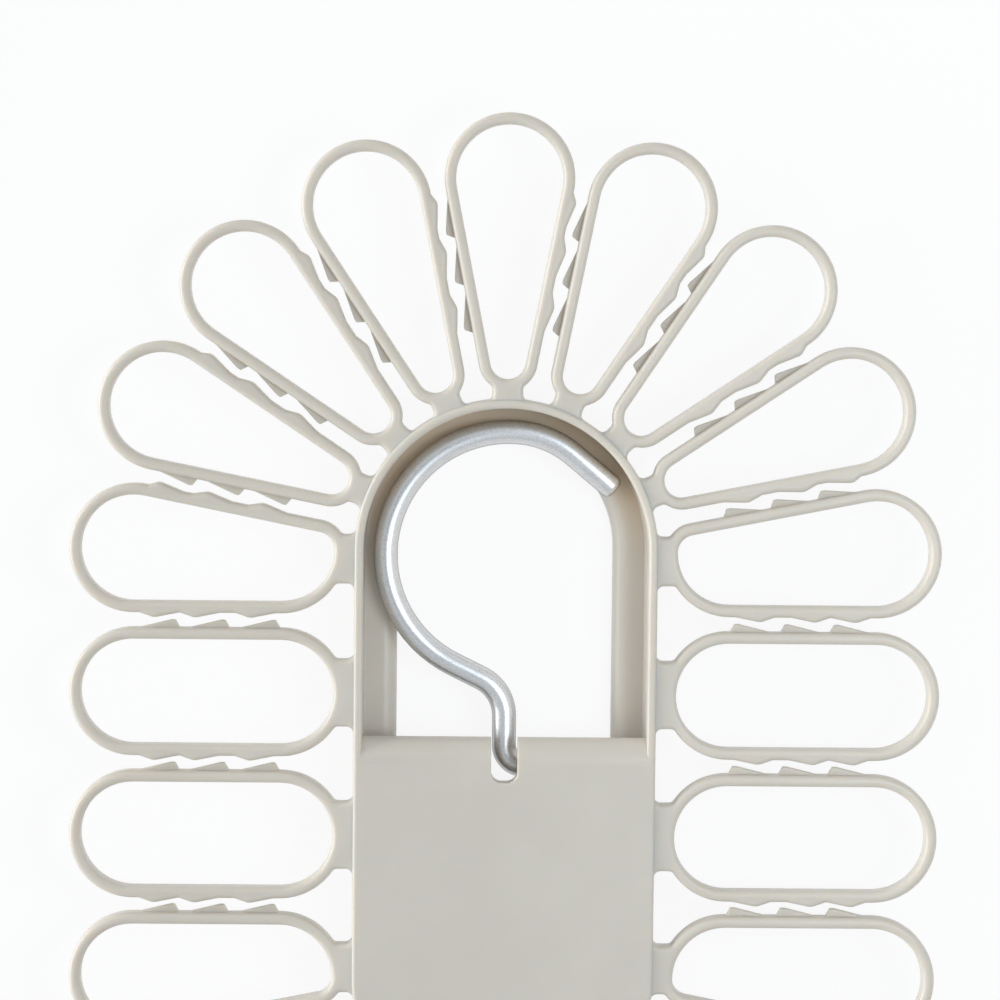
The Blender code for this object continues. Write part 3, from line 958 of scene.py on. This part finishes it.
def makeWorld():
    world = bpy.data.worlds.new("studio")
    bpy.context.scene.world = world
    world.use_nodes = True
    nodes, links = world.node_tree.nodes, world.node_tree.links
    background = nodes["Background"]
    background.inputs["Color"].default_value = (*stageSet["worldColour"], 1)
    place = nodes.new("ShaderNodeTexCoord")
    parts = nodes.new("ShaderNodeSeparateXYZ")
    links.new(place.outputs["Generated"], parts.inputs[0])
    slope = nodes.new("ShaderNodeMapRange")
    slope.inputs["To Min"].default_value = stageSet["skyLow"]
    slope.inputs["To Max"].default_value = stageSet["skyHigh"]
    links.new(parts.outputs["Z"], slope.inputs["Value"])
    links.new(slope.outputs["Result"], background.inputs["Strength"])
    direct = seenDirectly(nodes, links)
    sky = background.outputs[0]
    for bright, low, high, first, last in (
            ("wallWhite", "wallLow", "wallHigh", 1.0, 0.0),
            ("lensDark", "lensLow", "lensHigh", 0.0, 1.0)):
        zone = nodes.new("ShaderNodeBackground")
        zone.inputs["Color"].default_value = (1, 1, 1, 1)
        zone.inputs["Strength"].default_value = stageSet[bright]
        height = nodes.new("ShaderNodeMapRange")
        height.interpolation_type = "SMOOTHSTEP"
        height.inputs["From Min"].default_value = stageSet[low]
        height.inputs["From Max"].default_value = stageSet[high]
        height.inputs["To Min"].default_value = first
        height.inputs["To Max"].default_value = last
        share = nodes.new("ShaderNodeMath")
        share.operation = "MULTIPLY"
        mix = nodes.new("ShaderNodeMixShader")
        links.new(parts.outputs["Z"], height.inputs["Value"])
        links.new(height.outputs["Result"], share.inputs[0])
        links.new(direct, share.inputs[1])
        links.new(share.outputs[0], mix.inputs[0])
        links.new(sky, mix.inputs[1])
        links.new(zone.outputs[0], mix.inputs[2])
        sky = mix.outputs[0]
    links.new(sky, nodes["World Output"].inputs["Surface"])


lamps = {
    "rightBox": {
        "place": (0.222, 0.055, 0.415),
        "width": 0.20,
        "height": 0.20,
        "power": 0.70,
        "colour": (0.84, 0.92, 1.0),
    },
    "leftBox": {
        "place": (-2.40, 0.30, 0.50),
        "width": 2.4,
        "height": 0.9,
        "power": 58.0,
        "colour": (0.95, 0.97, 1.0),
    },
}
lampAim = (0.0, 0.05, 0.0)


def makeLight():
    for name, what in lamps.items():
        data = bpy.data.lights.new(name, "AREA")
        data.shape = "RECTANGLE"
        data.size = what["width"]
        data.size_y = what["height"]
        data.energy = what["power"]
        data.color = what["colour"]
        lamp = bpy.data.objects.new(name, data)
        lamp.location = what["place"]
        ahead = Vector(lampAim) - Vector(what["place"])
        lamp.rotation_euler = ahead.to_track_quat("-Z", "Y").to_euler()
        bpy.context.scene.collection.objects.link(lamp)


camera = {
    "place": (-0.0110, 0.1028, 0.7056),
    "turn": (radians(-3.687), radians(-0.754), radians(0.571)),
    "focal": 3160.8,              # in pixels of an image 1000 wide
    "imageWidth": 1000,
    "sensor": 36.0,
    "nearest": 0.01,              # metres
}


def makeCamera():
    data = bpy.data.cameras.new("camera")
    data.sensor_width = camera["sensor"]
    data.lens = camera["focal"] * camera["sensor"] / camera["imageWidth"]
    data.clip_start = camera["nearest"]
    view = bpy.data.objects.new("camera", data)
    view.location = camera["place"]
    view.rotation_euler = Euler(camera["turn"], "XYZ")
    bpy.context.scene.collection.objects.link(view)
    bpy.context.scene.camera = view


def dress(piece, bodyName, material):
    piece.data.materials.clear()
    piece.data.materials.append(material)
    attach(piece, bodyName)


def build():
    moulding = makePlastic()
    wireFinish = makeSteel()
    rackBody = makeBody()
    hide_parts("frame_shell", "centre_plate")
    dress(rackBody, "rack", moulding)
    print("frame and plate modelled")
    for piece in makeLoops():
        dress(piece, "rack", moulding)
    print("loops modelled")
    hookWire = makeHook()
    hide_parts("hook")
    dress(hookWire, "hook", wireFinish)
    print("hook modelled")
    makeFloor()
    makeWorld()
    makeLight()
    makeCamera()
    bpy.context.scene.view_settings.view_transform = "Standard"
    print("stage set")


build()
deselectAll()
